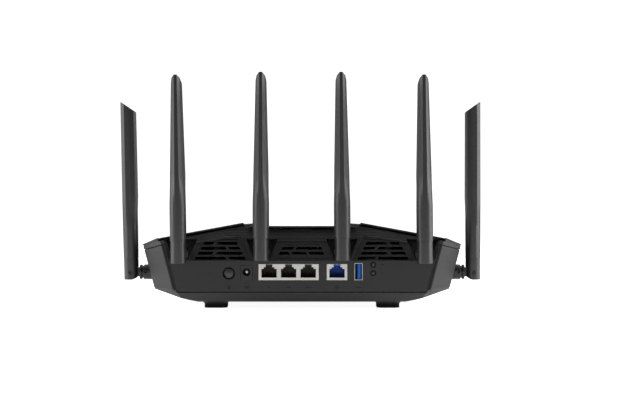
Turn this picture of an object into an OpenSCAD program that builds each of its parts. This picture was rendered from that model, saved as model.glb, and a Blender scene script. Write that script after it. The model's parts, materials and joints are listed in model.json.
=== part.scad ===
// Wireless router: a low faceted case with a rear connector panel, rear vent bays
// and six antennas, each on its own swivel and folding hinge.
// Seen from behind, X runs to the right, Y runs from the rear panel to the front, Z is up.
// The origin is on the desk, under the middle of the router's outline.

/* [Case] */
// Width of the case at its shoulder line
case_w = 255.5; // [254:0.5:257]
// Depth of the case, rear panel to nose
case_d = 146; // [142:1:150]
// Height of the case's underside above the desk
underside_z = 5.3; // [4.8:0.1:6]
// Height of the shoulder line on the side walls
shoulder_z = 50.2; // [49.8:0.1:50.6]
// Thickness of the moulded walls
wall = 2.2; // [1.8:0.1:2.4]
// Gap at the parting lines
parting = 0.2; // [0.1:0.05:0.3]

/* [Rear vents] */
// Height at which the connector panel ends and the sloping vent face begins
vent_z = 38.3; // [38:0.1:38.6]
// Lean of the vent face from upright
vent_lean = 24; // [22:1:26]
// Distance between slot rows
slot_pitch = 4.2; // [4:0.1:4.3]
// Height of a slot
slot_h = 2.4; // [1.8:0.1:2.6]

/* [Antennas] */
// Length from hinge pin to tip
antenna_l = 138.6; // [130:0.5:142]
// Width of an antenna at its round lower end
antenna_w = 12.8; // [12.4:0.1:13]
// Width of an antenna at its tip
tip_w = 8.2; // [7:0.1:9]
// Thickness of an antenna
antenna_t = 12.3; // [12:0.1:12.4]
// Distance of the outer pair of rear antennas from the middle
outer_x = 94.8; // [94:0.1:96]
// Distance of the inner pair of rear antennas from the middle
inner_x = 31.4; // [31:0.1:32]
// How far the left side antenna leans out at rest, in degrees
side_lean = 1.2; // [0:0.1:2]

/* [Connectors] */
// Height of the main board's upper face, on which the connectors stand
board_z = 23; // [22.9:0.05:23.1]
// Middle of the three-way network jack
lan_x = -10.3; // [-11:0.1:-10]
// Distance between the network jack's ports
lan_pitch = 15.3; // [15.2:0.1:15.4]
// Middle of the single network jack
wan_x = 27.5; // [27:0.1:28]
// Middle of the upright accessory port
usb_x = 44.3; // [44:0.1:45]
// Middle of the power inlet
inlet_x = -43.2; // [-44:0.1:-43]
// Middle of the power button
power_x = -57; // [-58:0.1:-56]
// Middle of the two small buttons
small_x = 55.8; // [55:0.1:57]

/* [Hidden] */

$fn = 48;
big = 400;
half_w = case_w / 2;
antenna_reach = 21.2;                        // how far the antennas stand behind the rear panel
rear_y = -(case_d + antenna_reach) / 2 + antenna_reach;
front_y = rear_y + case_d;

// Outline of the case as planes: each is a point on the plane and its outward normal.
side_lean_in = 0.268;                        // how much the walls draw in per unit of height
corner_rear_x = 110;                         // where the rear corner facets meet the rear face
corner_rear_y = 25;                          // depth of the rear corner facets
corner_front_x = 66;                         // where the front corner facets meet the nose
corner_front_y = 62;                         // depth of the front corner facets
wing_slope = 0.188;                          // fall of the wings towards the sides
nose_slope = 0.061;                          // fall of the top towards the nose
corner_lean = 0.26;                          // how much the rear corner facets draw in per unit of height
wing_x = 46.9;                               // inner end of the wings at the rear
wing_z = 68.1;                               // height of the wing plates at their inner rear end
trough_z = 62.6;                             // height of the sunk middle at the rear
plate_gap = 1.6;                             // air gap under the floating plates
plate_t = 1.2;                               // thickness of the floating plates
plate_rise = plate_gap + plate_t;            // top of the plates above what they float over
ridge_x = 114.2;                             // where the wings meet the shoulder facets
strip_w = 2.6;                               // strip between the rear corner facets and the panel
lip = 3;                                     // depth of the top cover's rim
rear_top_y = rear_y + 6;
ridge_z = wing_z - wing_slope * (ridge_x - wing_x) - nose_slope * (rear_y + corner_rear_y - rear_top_y);
shoulder_slope = (ridge_z - shoulder_z) / (half_w - ridge_x);

function side_plane(s) = [[s * half_w, 0, shoulder_z], [s, 0, -side_lean_in]];
function rear_corner_plane(s) =
    [[s * corner_rear_x, rear_y, shoulder_z],
     [s * corner_rear_y, corner_rear_x - half_w, -corner_lean * corner_rear_y]];
function front_corner_plane(s) =
    [[s * corner_front_x, front_y, shoulder_z],
     [s * corner_front_y, half_w - corner_front_x, -0.3 * corner_front_y]];
// The narrow bevel under a rear corner facet.
bevel_z = 15.8;
function under_corner_plane(s) =
    let (out = [s * corner_rear_y, corner_rear_x - half_w] / norm([corner_rear_y, corner_rear_x - half_w]))
    [[s * (corner_rear_x - corner_lean * (shoulder_z - bevel_z)), rear_y, bevel_z],
     [0.674 * out.x, 0.674 * out.y, -0.738]];
function wing_plane(s) = [[s * wing_x, rear_top_y, wing_z], [s * wing_slope, nose_slope, 1]];
function shoulder_plane(s) =
    [[s * half_w, rear_y + corner_rear_y, shoulder_z], [s * shoulder_slope, nose_slope, 1]];
function under_side_plane(s) = [[s * 81.9, 0, underside_z], [s * 0.246, 0, -1]];
rear_plane = [[0, rear_y, 0], [0, -1, 0]];
vent_plane = [[0, rear_y, vent_z], [0, -cos(vent_lean), sin(vent_lean)]];
nose_plane = [[0, front_y, shoulder_z - 9], [0, 1, -0.45]];
brow_plane = [[0, front_y, shoulder_z - 9], [0, 1, 0.62]];
under_rear_plane = [[0, rear_y, 12.6], [0, -0.674, -0.738]];
under_edge_plane = [[0, rear_y + 6.2, 6.9], [0, -0.4, -0.92]];
under_front_plane = [[0, front_y - 28, underside_z], [0, 0.4, -1]];
under_plane = [[0, 0, underside_z], [0, 0, -1]];
trough_plane = [[0, rear_top_y, trough_z], [0, nose_slope, 1]];

// Everything behind a plane, moved inwards by inset.
module behind(plane, inset = 0) {
    n = plane[1] / norm(plane[1]);
    translate(plane[0] - inset * n)
        rotate([0, acos(n.z), atan2(n.y, n.x)])
            translate([-big, -big, -2 * big]) cube(2 * big);
}

// The case's whole outline, with every wall moved inwards by inset.
module case_block(inset = 0) {
    intersection() {
        behind(rear_plane, inset);
        vent_side(inset);
        behind(nose_plane, inset);
        behind(brow_plane, inset);
        behind(under_plane, inset);
        behind(under_rear_plane, inset);
        behind(under_edge_plane, inset);
        behind(under_front_plane, inset);
        sloping_sides(inset);
    }
}

// The vent face, and the cheeks beside it that carry on straight up from the connector panel.
module vent_side(inset) {
    union() {
        behind(vent_plane, inset);
        difference() {
            translate([-big / 2, rear_y - 1, 0]) cube([big, 50, big]);
            between_corners(strip_w - inset);
        }
    }
}

module between_corners(inset) {
    intersection() {
        behind(rear_corner_plane(1), inset);
        behind(rear_corner_plane(-1), inset);
    }
}

module sloping_sides(inset) {
    intersection() {
        behind(side_plane(1), inset);
        behind(side_plane(-1), inset);
        between_corners(inset);
        behind(front_corner_plane(1), inset);
        behind(front_corner_plane(-1), inset);
        behind(under_side_plane(1), inset);
        behind(under_side_plane(-1), inset);
        behind(under_corner_plane(1), inset);
        behind(under_corner_plane(-1), inset);
        top_planes(inset);
    }
}

// Everything under the sunk middle and under what the plates float over, lowered by inset.
module roof(inset) {
    intersection() {
        top_planes(inset);
        behind(wing_plane(1), plate_rise + inset);
        behind(wing_plane(-1), plate_rise + inset);
        behind(trough_plane, inset);
    }
}

// The space under the wing plates' upper faces and the shoulder facets.
module top_planes(inset) {
    intersection() {
        behind(wing_plane(1), inset);
        behind(wing_plane(-1), inset);
        behind(shoulder_plane(1), inset);
        behind(shoulder_plane(-1), inset);
    }
}

// Plan of the sunk middle between the wings: [x, y] down its right edge.
trough_edge = [[45, rear_y - 30], [45, -26], [34, 6], [50, 44], [62, front_y + 30]];
function mirrored(edge) = concat(edge, [for (i = [len(edge) - 1:-1:0]) [-edge[i].x, edge[i].y]]);

module trough(grow, drop) {
    intersection() {
        translate([0, 0, 20]) linear_extrude(height = 80)
            offset_edge(trough_edge, grow);
        difference() {
            cube([big, big, big], center = true);
            behind(trough_plane, drop);
        }
    }
}

module offset_edge(edge, grow) {
    polygon(mirrored([for (p = edge) [p.x + grow, p.y]]));
}

// The recess that a wing plate floats in. It opens to the rear and into the sunk middle.
recess_outline = [[44, rear_y - 5], [ridge_x - 1.5, rear_y - 5], [ridge_x - 1.5, 22.6], [74.4, 67],
                  [57.4, 58.8], [49.4, 44], [33.4, 6], [44, -26]];
module wing_recess(side) {
    difference() {
        mirror([side < 0 ? 1 : 0, 0, 0]) translate([0, 0, 20])
            linear_extrude(height = 80) polygon(recess_outline);
        behind(wing_plane(side), plate_rise);
    }
}

// The case's skin, before it is parted into cover and tub.
module case_outer() {
    difference() {
        case_block(0);
        trough(0, 0);
        wing_recess(1);
        wing_recess(-1);
    }
}

module case_inner() {
    difference() {
        intersection() {
            case_block(wall);
            behind(wing_plane(1), plate_rise + wall);
            behind(wing_plane(-1), plate_rise + wall);
        }
        trough(wall, wall);
    }
}

// Where the top cover reaches down over the rear of the case, between the corner facets.
module vent_region(grow = 0) {
    intersection() {
        between_corners(strip_w - grow);
        translate([-big / 2, rear_y - 10, vent_z - grow]) cube([big, 22 + grow, big]);
    }
}

// Everything that the top cover owns: the lid above the rim line and the rear vent face.
module cover_region(grow = 0) {
    union() {
        difference() {
            translate([-big / 2, -big / 2, 20]) cube([big, big, 100]);
            roof(lip + grow);
        }
        vent_region(grow);
    }
}

// Local frame of the vent face: x across, y into the case, z up the slope.
module on_vent_face() {
    translate([0, rear_y, vent_z]) rotate([-vent_lean, 0, 0]) children();
}

// A vent slot with a small ledge along its lower edge.
module vent_slot(x0, x1, z, lean0, lean1) {
    slot_bar(x0, x1, z, lean0, lean1, 8);
    slot_bar(x0 - 0.2, x1 + 0.2, z - slot_h / 2, lean0, lean1, field_depth + 0.6, 0.9);
}

// One slot: a bar with slanting ends, centred at height z up the slope.
module slot_bar(x0, x1, z, lean0, lean1, depth, h = slot_h) {
    translate([0, depth, z]) rotate([90, 0, 0])
        linear_extrude(height = depth + 5)
            polygon([[x0 - lean0 * h / 2, -h / 2], [x1 - lean1 * h / 2, -h / 2],
                     [x1 + lean1 * h / 2, h / 2], [x0 + lean0 * h / 2, h / 2]]);
}

bay_lean = 0.36;                             // slant of the bay frames
row_z = 2.5;                                 // height of the lowest slot row up the slope
// Side bay rows, lowest first: [outer end, divider, inner end].
side_rows = [[-83.3, -58.4, -44], [-81.3, -68.6, -46.6], [-79.3, -58.6, -48.5], [-76.8, -68.1, -50.5]];
divider = 2.1;

module side_bay_slots() {
    for (i = [0:3]) {
        z = row_z + i * slot_pitch;
        lean = i % 2 == 0 ? -0.7 : 0.7;
        vent_slot(side_rows[i][0], side_rows[i][1] - divider / 2, z, bay_lean, lean);
        vent_slot(side_rows[i][1] + divider / 2, side_rows[i][2], z, lean, -bay_lean);
    }
}

module centre_bay_slots() {
    z1 = row_z + slot_pitch;
    z2 = row_z + 2 * slot_pitch;
    vent_slot(-17.8, -9.9, z1, bay_lean, -0.7);
    vent_slot(-7.9, 3.5, z1, -0.7, -0.7);
    vent_slot(5.5, 17.3, z1, -0.7, -bay_lean);
    vent_slot(-15.8, -6.4, z2, bay_lean, 0.7);
    vent_slot(-4.4, 15.8, z2, 0.7, -bay_lean);
}

// Shallow sunk field of a bay, bounded by its slanting frame.
side_bay = [[-88.4, -0.3], [-38.4, -0.3], [-48.2, 21], [-85, 14.7]];
centre_bay = [[-26.6, -0.3], [26.6, -0.3], [20.2, 16.8], [-20.2, 16.8]];
module bay_field(outline) {
    translate([0, field_depth, 0]) rotate([90, 0, 0]) linear_extrude(height = field_depth + 3)
        polygon(outline);
}

field_depth = 0.8;
module groove_bar(x0, x1, z) {
    slot_bar(x0, x1, z, bay_lean, -bay_lean, field_depth + 0.6, 1.3);
}

module rear_bays() {
    on_vent_face() {
        for (s = [0, 1]) mirror([s, 0, 0]) {
            bay_field(side_bay);
            side_bay_slots();
            groove_bar(-63, -49.5, row_z + 3.75 * slot_pitch);
        }
        bay_field(centre_bay);
        centre_bay_slots();
        groove_bar(-15, 15, row_z + 2.8 * slot_pitch);
        groove_bar(-21, 21, row_z);
    }
}

// The strip of the roof next to the vent face.
module rear_strip() {
    translate([-100, rear_y - 5, 20]) cube([200, 25, 60]);
}

// Terraces across the rear face that follow the edge of the roof, each set further in.
terraces = [[1.6, 1.2], [3.6, 0.8], [5.6, 0.4]];
module rear_ledges() {
    intersection() {
        for (t = terraces) difference() {
            vent_region(1);
            roof(t[0]);
            behind(vent_plane, t[1]);
        }
        between_corners(4.5);
    }
}

// A V-shaped pocket round an antenna's socket, wide at the top.
pocket_depth = 5;
module pocket(x, low_z, grow) {
    on_vent_face() translate([x, pocket_depth + grow, 0]) rotate([90, 0, 0])
        linear_extrude(height = pocket_depth + grow + 4)
            polygon([[-6.4 - grow, low_z - grow], [6.4 + grow, low_z - grow],
                     [12.6 + grow, 18.4 + grow], [-12.6 - grow, 18.4 + grow]]);
}

pocket_low = 1.9;
module pockets(grow) {
    intersection() {
        for (x = [-outer_x, -inner_x, inner_x, outer_x]) pocket(x, pocket_low, grow);
        between_corners(6 - grow);
    }
}

// ---------------------------------------------------------------- antenna places
inner_pin_z = 45.2;
outer_pin_z = 43.1;
side_pin_z = 27.2;
rear_pin_y = rear_y - 15;
side_pin_y = rear_pin_y + 55;
side_pin_x = 138.9;
// Hinge pin of each antenna, left to right seen from behind, and which way it faces.
pins = [[-side_pin_x, side_pin_y, side_pin_z], [-outer_x, rear_pin_y, outer_pin_z],
        [-inner_x, rear_pin_y, inner_pin_z], [inner_x, rear_pin_y, inner_pin_z],
        [outer_x, rear_pin_y, outer_pin_z], [side_pin_x, side_pin_y, side_pin_z]];
facing = [-90, 0, 0, 0, 0, 90];
leans = [side_lean, 0, 0, 0, 0, 0];

// How far each swivel stands turned at rest.
turns = [0, -0.8, 0, -0.5, -0.5, 0];

// Hinge frame: the pin runs along x, the antenna faces -y and stands up z.
module at_hinge(k) {
    translate(pins[k - 1]) rotate([0, 0, facing[k - 1]]) children();
}

module at_swivel(k) {
    at_hinge(k) rotate([0, turns[k - 1], 0]) children();
}

module at_antenna(k) {
    at_swivel(k) rotate([leans[k - 1], 0, 0]) children();
}

// Turned part along y, from y0 to y1.
module along_y(r, y0, y1) {
    translate([0, y1, 0]) rotate([90, 0, 0]) cylinder(r = r, h = y1 - y0);
}

disc_r = 6;
socket_r = 6.1;
shaft_r = 3.6;
disc_y = 7.1;                                // from the pin to the swivel's disc
disc_t = 1.8;
socket_y = 9.1;                              // from the pin to the socket's mouth
pin_y = 12.3;                                // from the pin to the socket's retaining pins
socket_end = 25.5;                           // from the pin to the socket's inner end

module socket(k) {
    side = k == 1 || k == 6;
    at_hinge(k) difference() {
        union() {
            along_y(5, socket_y, 10.5);
            along_y(socket_r, 10.4, side ? 19.8 : 21.5);
            along_y(5.2, side ? 19.6 : 21.3, socket_end);
        }
        along_y(shaft_r + 0.05, socket_y - 1, 18.05);
        along_y(1.2, 17, socket_end + 1);
        translate([0, pin_y, 0]) rotate([0, 90, 0]) cylinder(r = 0.95, h = 20, center = true);
    }
}

// Two short retaining pins for each socket, whose ends ride in the shaft's groove.
module socket_pin_pair(k) {
    at_hinge(k) for (s = [-1, 1]) translate([s * 4.15, pin_y, 0]) rotate([0, 90, 0])
        cylinder(r = 0.9, h = 1.5, center = true);
}

tongue_t = 4.6;
eye_r = 3.7;
trunnion_r = 1.5;

module swivel(k) {
    at_swivel(k) difference() {
        union() {
            rotate([0, 90, 0]) cylinder(r = eye_r, h = tongue_t, center = true);
            translate([-tongue_t / 2, 0, -eye_r]) cube([tongue_t, disc_y + 0.5, 2 * eye_r]);
            rotate([0, 90, 0]) cylinder(r = trunnion_r, h = 10.6, center = true);
            along_y(eye_r, 6.5, disc_y + 0.2);
            along_y(disc_r, disc_y, disc_y + disc_t);
            along_y(shaft_r, disc_y + disc_t - 0.1, 17.9);
        }
        translate([0, pin_y, 0]) rotate([90, 0, 0]) rotate_extrude()
            translate([3.3, -1.15]) square([2, 2.3]);
        along_y(1.1, 7.4, 20);
    }
}

base_r = 6;
seam_z = 11;
base_low = -6.2;
slot_w = tongue_t + 0.3;

module antenna_base(k) {
    at_antenna(k) difference() {
        union() {
            intersection() {
                translate([0, 0, base_low]) cylinder(r = base_r, h = seam_z - base_low);
                union() {
                    rotate([0, 90, 0]) cylinder(r = 6.3, h = 20, center = true);
                    translate([-10, -10, -10]) cube([20, 10, 30]);
                    translate([-10, -10, 3.6]) cube([20, 20, 20]);
                }
            }
            translate([0, 0, seam_z - 0.1]) cylinder(r = 4.5, h = 4.1);
        }
        rotate([0, 90, 0]) cylinder(r = eye_r + 0.3, h = slot_w, center = true);
        translate([-slot_w / 2, 0, -eye_r - 0.3]) cube([slot_w, 10, 2 * eye_r + 0.6]);
        translate([-slot_w / 2, -eye_r - 0.3, -10]) cube([slot_w, 2 * eye_r + 0.6, 10]);
        translate([-slot_w / 2, 0, -10]) cube([slot_w, 10, 10]);
        rotate([0, 90, 0]) cylinder(r = trunnion_r + 0.05, h = 20, center = true);
        translate([0, 0, seam_z + 1]) cylinder(r = 3.2, h = 5);
    }
}

// Cover sections: the corners of the faceted outline are given as [share of half width, y].
half_t = antenna_t / 2;
facet_corners = [[-0.28, -half_t], [0.28, -half_t], [0.78, -half_t + 3.1], [1, 1.6], [1, half_t - 1.6],
                 [0.76, half_t], [-0.76, half_t], [-1, half_t - 1.6], [-1, 1.6], [-0.78, -half_t + 3.1]];
side_points = 3;
ring_points = len(facet_corners) * side_points;
function facet_point(i, w) =
    let (j = floor(i / side_points), f = (i % side_points) / side_points,
         a = facet_corners[j], b = facet_corners[(j + 1) % len(facet_corners)])
    [w * (a.x + (b.x - a.x) * f), a.y + (b.y - a.y) * f];
function round_point(p, w) =
    let (a = atan2(p.y / half_t, p.x / w)) [w * cos(a), half_t * sin(a)];
function cover_half_w(z) =
    z < 40 ? antenna_w / 2
           : antenna_w / 2 - (z - 40) / (antenna_l - 40) * (antenna_w - tip_w) / 2;
function blend_at(z) = let (t = min(max((z - 38) / 23, 0), 1)) t * t * (3 - 2 * t);
function cover_ring(z) =
    let (w = cover_half_w(z), t = blend_at(z))
    [for (i = [0:ring_points - 1]) let (p = facet_point(i, w), q = round_point(p, w))
        [q.x + (p.x - q.x) * t, q.y + (p.y - q.y) * t, z]];
cover_levels = [seam_z, 38, 46, 53, 61, antenna_l];

module rings_solid(rings) {
    n = len(rings[0]);
    m = len(rings);
    polyhedron(
        points = [for (r = rings, p = r) p],
        faces = concat(
            [[for (i = [0:n - 1]) i]],
            [[for (i = [n - 1:-1:0]) (m - 1) * n + i]],
            [for (j = [0:m - 2], i = [0:n - 1])
                [j * n + (i + 1) % n, j * n + i, (j + 1) * n + i]],
            [for (j = [0:m - 2], i = [0:n - 1])
                [j * n + (i + 1) % n, (j + 1) * n + i, (j + 1) * n + (i + 1) % n]]));
}

tip_slant = 35.5;                            // slope of the chisel-cut tip
module antenna_cover(k) {
    at_antenna(k) difference() {
        rings_solid([for (z = cover_levels) cover_ring(z)]);
        translate([0, -half_t, antenna_l]) rotate([-tip_slant, 0, 0])
            translate([-20, -20, 0]) cube([40, 60, 30]);
        rings_solid([for (s = [[seam_z - 1, 4.5], [60, 3.6], [124, 2.7]])
            [for (c = [[-1, -1], [1, -1], [1, 1], [-1, 1]]) [c.x * s[1] * 0.9, c.y * 3.2, s[0]]]]);
        translate([0, 0, seam_z - 1]) cylinder(r = 4.6, h = 5.2);
    }
}

module radiator(k) {
    at_antenna(k) translate([-2.2, -0.5, seam_z + 1])
        cube([4.4, 1, 108]);
}

// ---------------------------------------------------------------- casing
foot_x = 68.5;
foot_y = [rear_y + 24, front_y - 34];
foot_h = 3.4;
function foot_outline(w, d) =
    [[-w, -d + 3], [-w + 3, -d], [w - 3, -d], [w, -d + 3], [w, d - 3], [w - 3, d], [-w + 3, d], [-w, d - 3]];

module at_feet() {
    for (x = [-foot_x, foot_x], y = foot_y) translate([x, y, 0]) children();
}

post_split_z = 20;
boss_r = 3.4;
board_front_y = 64;
board_screw_places = [[-92, rear_y + 20], [92, rear_y + 20], [-92, 34], [92, 34], [0, 56]];

module bottom_case() {
    color([0.07, 0.07, 0.07]) difference() {
        union() {
            difference() {
                case_outer();
                case_inner();
                cover_region(parting);
            }
            intersection() {
                case_block(0.3);
                union() {
                    at_feet() translate([0, 0, foot_h]) cylinder(r = 5, h = post_split_z - foot_h);
                    for (p = board_screw_places) translate([p.x, p.y, 5.6])
                        cylinder(r = boss_r, h = board_z - 1.6 - 5.6);
                }
                roof(lip + 2);
            }
            at_feet() translate([0, 0, foot_h])
                linear_extrude(height = underside_z - foot_h + 0.1, scale = 1.22)
                    polygon(foot_outline(9, 9));
        }
        at_feet() {
            translate([0, 0, 4.4]) cylinder(r = 1.6, h = 40);
            translate([0, 0, 2]) cylinder(r = 3.1, h = 4.6);
        }
        for (p = board_screw_places) translate([p.x, p.y, 12]) cylinder(r = 1.2, h = 20);
        // shadow line under the cover's rim
        difference() {
            roof(lip - 0.1);
            roof(lip + 0.6);
            case_block(0.6);
        }
        // line down each strip beside the connector panel
        for (side = [-1, 1]) difference() {
            behind(rear_corner_plane(side), 1.1);
            behind(rear_corner_plane(side), 1.8);
            case_block(0.7);
            translate([-big / 2, rear_y + 4, 0]) cube(big);
        }
        panel_outline(0.15);
        // sockets of the two side antennas
        for (k = [1, 6]) at_hinge(k) along_y(socket_r + 0.1, 5, 23);
        // vents in the floor and side walls
        for (s = [-1, 1], i = [0:8]) translate([s * (18 + i * 5), 18 + i * 1.5, 0])
            rotate([0, 0, s * 24]) translate([-1.1, -16, 4]) cube([2.2, 32, 6]);
        for (s = [-1, 1], i = [0:4]) translate([s * (half_w - 8), -10 + i * 5.5, 22])
            rotate([-28, 0, 0]) translate([-12, -0.9, -8]) cube([24, 1.8, 16]);
        // wall-hanging keyholes
        for (s = [-1, 1]) translate([s * keyhole_x, keyhole_y, 3]) {
            cylinder(r = keyhole_r, h = 6);
            translate([-2, 0, 0]) cube([4, 9, 6]);
            translate([0, 9, 0]) cylinder(r = 2, h = 6);
        }
    }
}

keyhole_x = 45;
keyhole_y = -18;
keyhole_r = 4;

// The connector panel: a flat plate between the corner facets.
panel_low_z = 13.6;
module panel_outline(grow) {
    intersection() {
        between_corners(strip_w - grow);
        translate([-big / 2, rear_y - 1, panel_low_z - grow])
            cube([big, wall + 1.3, vent_z - panel_low_z + grow + 0.15]);
    }
}

port_low_z = board_z;
jack_h = 12.5;
jack_gap = 0.2;
inlet_w = 9.2;
inlet_h = 11.4;
module panel_holes() {
    translate([lan_x - 1.5 * lan_pitch - 0.5 - jack_gap, rear_y - 2, port_low_z - jack_gap])
        cube([3 * lan_pitch + 1 + 2 * jack_gap, 8, jack_h + 2 * jack_gap]);
    translate([wan_x - 8 - jack_gap, rear_y - 2, port_low_z - jack_gap])
        cube([16 + 2 * jack_gap, 8, jack_h + 2 * jack_gap]);
    translate([usb_x - usb_half_w - jack_gap, rear_y - 2, port_low_z - jack_gap])
        cube([2 * (usb_half_w + jack_gap), 8, usb_h + 2 * jack_gap]);
    translate([inlet_x - inlet_w / 2 - jack_gap, rear_y - 2, board_z])
        cube([inlet_w + 2 * jack_gap, 8, inlet_h + jack_gap]);
    translate([power_x, rear_y, power_z]) along_y(power_hole_r, -3, 8);
    for (z = small_z) translate([small_x, rear_y, z]) along_y(small_hole_r, -3, 8);
}

power_z = 28.3;
power_hole_r = 4.9;
small_hole_r = 2.2;
small_z = [35.1, 28.5];

module io_panel() {
    color([0.06, 0.06, 0.06]) difference() {
        intersection() {
            panel_outline(0);
            translate([-big / 2, rear_y, 0]) cube([big, wall, vent_z - 0.1]);
        }
        panel_holes();
        for (k = [2, 5]) at_hinge(k) along_y(socket_r + 0.3, 5, 25);
    }
}

// A skirt that hangs from the cover just inside the tub's walls and closes the parting line.
skirt_gap = 0.15;
skirt_t = 1;
skirt_drop = 1.8;
module cover_skirt() {
    difference() {
        case_block(wall + skirt_gap);
        case_block(wall + skirt_gap + skirt_t);
        roof(lip + skirt_drop);
        behind([[0, rear_y + 8, 0], [0, 1, 0]]);
    }
}

module top_cover() {
    color([0.08, 0.08, 0.08]) difference() {
        union() {
            intersection() {
                cover_skirt();
                roof(1);
            }
            difference() {
                intersection() {
                    case_outer();
                    cover_region(0);
                }
                case_inner();
            }
            intersection() {
                pockets(1.8);
                case_block(0.05);
                cover_region(0);
            }
            intersection() {
                at_feet() translate([0, 0, post_split_z + parting]) cylinder(r = 4, h = 60);
                case_block(0.3);
                behind(trough_plane, 0.3);
            }
        }
        at_feet() translate([0, 0, post_split_z - 1]) cylinder(r = 1.6, h = 16);
        rear_bays();
        pockets(0);
        // the sockets of the rear antennas
        for (k = [2:5]) at_hinge(k) along_y(socket_r + 0.1, 5, 30);
        // fine line round the rim
        difference() {
            top_planes(1.2);
            top_planes(1.8);
            case_block(0.6);
            rear_strip();
        }
        rear_ledges();
        // status windows near the nose
        for (i = [-3:3]) translate([i * light_pitch - 2.5, nose_window_y - 0.8, 30])
            cube([5, 1.6, 50]);
        // exhaust slots under the plates
        for (s = [0, 1], i = [0:4]) mirror([s, 0, 0]) translate([60 + i * 7, -26 + i * 3, 30])
            rotate([0, 0, -14]) translate([-1.2, 0, 0]) cube([2.4, 34, 40]);
        badge_seat(0.1);
    }
}

nose_window_y = front_y - 14;

// ---------------------------------------------------------------- floating plates
// Right wing plate in plan. The rear walls bound the rest.
wing_outline = [[46.6, rear_y - 5], [ridge_x - 2.1, rear_y - 5], [ridge_x - 2.1, 22.4], [74, 66],
                [58.5, 58], [51.6, 44.4], [35.6, 6.2], [46.6, -25.8]];
wing_posts = [[58, -42], [100, -40], [108, 8], [50, 6]];
// Half of the centre plate in plan, rear to nose.
centre_edge = [[43, rear_y + 10], [43, -26.4], [32, 5.8], [46, 39], [34, 51], [16, 51], [10, 45]];

module between(plane, low, high) {
    difference() {
        behind(plane, -high);
        behind(plane, -low);
    }
}

module wing_plate(side) {
    color([0.05, 0.05, 0.05]) mirror([side < 0 ? 1 : 0, 0, 0]) {
        intersection() {
            translate([0, 0, 20]) linear_extrude(height = 80) polygon(wing_outline);
            between(wing_plane(1), -plate_t, 0);
            behind(vent_plane, 0.2);
            behind(rear_corner_plane(1), 0.3);
        }
        intersection() {
            for (p = wing_posts) translate([p.x, p.y, 20]) cylinder(r = 2, h = 80);
            between(wing_plane(1), -plate_rise, 0.1 - plate_t);
        }
    }
}

module centre_plate() {
    color([0.05, 0.05, 0.05]) difference() {
        union() {
            intersection() {
                translate([0, 0, 20]) linear_extrude(height = 80) polygon(mirrored(centre_edge));
                between(trough_plane, plate_gap, plate_rise);
            }
            intersection() {
                for (p = [[-34, -46], [34, -46], [-34, 40], [34, 40]])
                    translate([p.x, p.y, 20]) cylinder(r = 2, h = 80);
                between(trough_plane, 0, plate_gap + 0.1);
            }
        }
        badge_seat(0.15);
    }
}

badge_y = -8;
badge_r = 17;
// A plain hexagonal ring let into the centre plate.
module badge_seat(grow) {
    intersection() {
        translate([0, badge_y, 30]) cylinder(r = badge_r + grow, h = 60, $fn = 6);
        difference() {
            behind(trough_plane, -plate_rise - 2);
            behind(trough_plane, 0.6);
        }
    }
}

module badge() {
    color([0.35, 0.35, 0.36]) difference() {
        intersection() {
            translate([0, badge_y, 30]) cylinder(r = badge_r, h = 60, $fn = 6);
            between(trough_plane, -0.5, plate_rise + 0.3);
        }
        translate([0, badge_y, 30]) cylinder(r = badge_r - 5, h = 60, $fn = 6);
    }
}

module rubber_feet() {
    color([0.03, 0.03, 0.03]) at_feet() difference() {
        linear_extrude(height = foot_h) polygon(foot_outline(9, 9));
        translate([0, 0, -1]) linear_extrude(height = 1.6) polygon(foot_outline(5, 5));
    }
}

module screw(shank_r, shank_l, head_r, head_h) {
    difference() {
        union() {
            cylinder(r = head_r, h = head_h);
            translate([0, 0, head_h - 0.1]) cylinder(r = shank_r, h = shank_l);
        }
        for (a = [0, 90]) rotate([0, 0, a]) translate([-head_r * 0.6, -0.25, -0.1])
            cube([head_r * 1.2, 0.5, 0.8]);
    }
}

module case_screws() {
    color("dimgray") at_feet() translate([0, 0, 4.7]) screw(1.5, 26, 2.8, 1.9);
}

// ---------------------------------------------------------------- board and cooling
module main_board() {
    color([0.05, 0.2, 0.12]) difference() {
        translate([0, 0, board_z - 1.6]) linear_extrude(height = 1.6)
            polygon([[-98, rear_y + 12], [-86, rear_y + 3.2], [86, rear_y + 3.2], [98, rear_y + 12],
                     [98, 40], [60, board_front_y], [-60, board_front_y], [-98, 40]]);
        for (p = board_screw_places) translate([p.x, p.y, 0]) cylinder(r = 1.5, h = 60);
        at_feet() cylinder(r = 5.6, h = 60);
    }
}

module board_screws() {
    color("silver") for (p = board_screw_places)
        translate([p.x, p.y, board_z + 1.9]) mirror([0, 0, 1]) screw(1.1, 7, 2.6, 1.9);
}

sink_z = board_z + 4.6;
sink_x = 60;
sink_y = [rear_y + 27, 38];
module heatsink() {
    color([0.6, 0.61, 0.62]) union() {
        translate([-sink_x, sink_y[0], sink_z]) cube([2 * sink_x, sink_y[1] - sink_y[0], 3]);
        for (i = [0:19]) translate([-sink_x + 1 + i * (2 * sink_x - 3.2) / 19, sink_y[0], sink_z + 2.9])
            cube([1.2, sink_y[1] - sink_y[0], 16]);
    }
}

module heat_spreader() {
    color([0.7, 0.7, 0.71]) difference() {
        translate([-75, rear_y + 30, 12.4]) cube([150, 66, 1.6]);
        at_feet() cylinder(r = 6, h = 40);
        for (p = board_screw_places) translate([p.x, p.y, 0]) cylinder(r = 5, h = 40);
    }
}

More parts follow.
